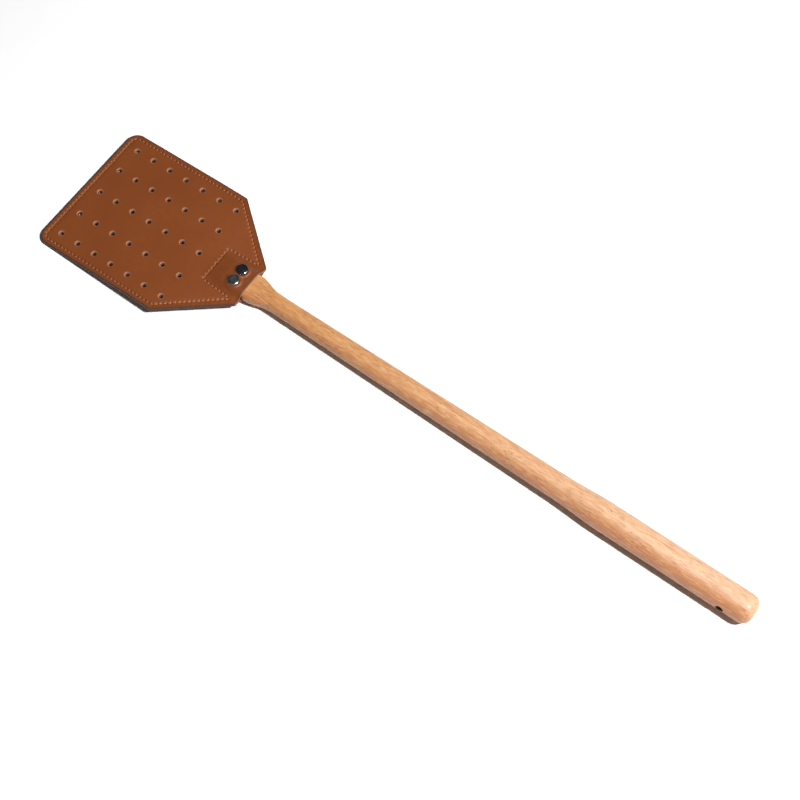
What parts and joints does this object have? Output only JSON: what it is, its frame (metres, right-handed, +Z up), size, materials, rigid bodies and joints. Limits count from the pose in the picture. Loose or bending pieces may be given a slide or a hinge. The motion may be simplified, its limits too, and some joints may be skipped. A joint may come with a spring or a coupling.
{
  "type": "leather fly swatter",
  "caption": "Fly swatter with a stitched double leather head, punched in a grid and riveted over the flat tongue of a turned beech handle.",
  "frame": {"origin": "under the middle of the swatter's box, on the table that it lies on", "axes": "+X along the handle from the leather head to the grip, +Y across the head, +Z up from the table through the front face"},
  "size_m": [0.508, 0.1004, 0.0197],
  "materials": {
    "beech": "turned beech, satin oil, short dark flecks along the grain",
    "leather": "smooth tan cowhide, semi-matt, with dark painted edges",
    "thread": "waxed light tan polyester thread",
    "rivet": "polished gunmetal plating"
  },
  "bodies": {
    "handle": {"handle": "beech", "rivet_front_cap_a": "rivet", "rivet_front_cap_b": "rivet", "rivet_back_cap_a": "rivet", "rivet_back_cap_b": "rivet"},
    "head": {"front_leather_panel": "leather", "back_leather_panel": "leather", "front_seam_thread": "thread", "back_seam_thread": "thread"}
  },
  "joints": [
    {"name": "head_flex", "type": "hinge", "parent": "handle", "child": "head", "pos_m": [-0.15802, 0, 0.00754], "axis": [0, 1, 0], "range_deg": [-30, 30], "stiffness_Nm_per_rad": 0.3, "springref_deg": -3.84, "deforming": ["front_leather_panel", "back_leather_panel", "front_seam_thread", "back_seam_thread"]}
  ]
}
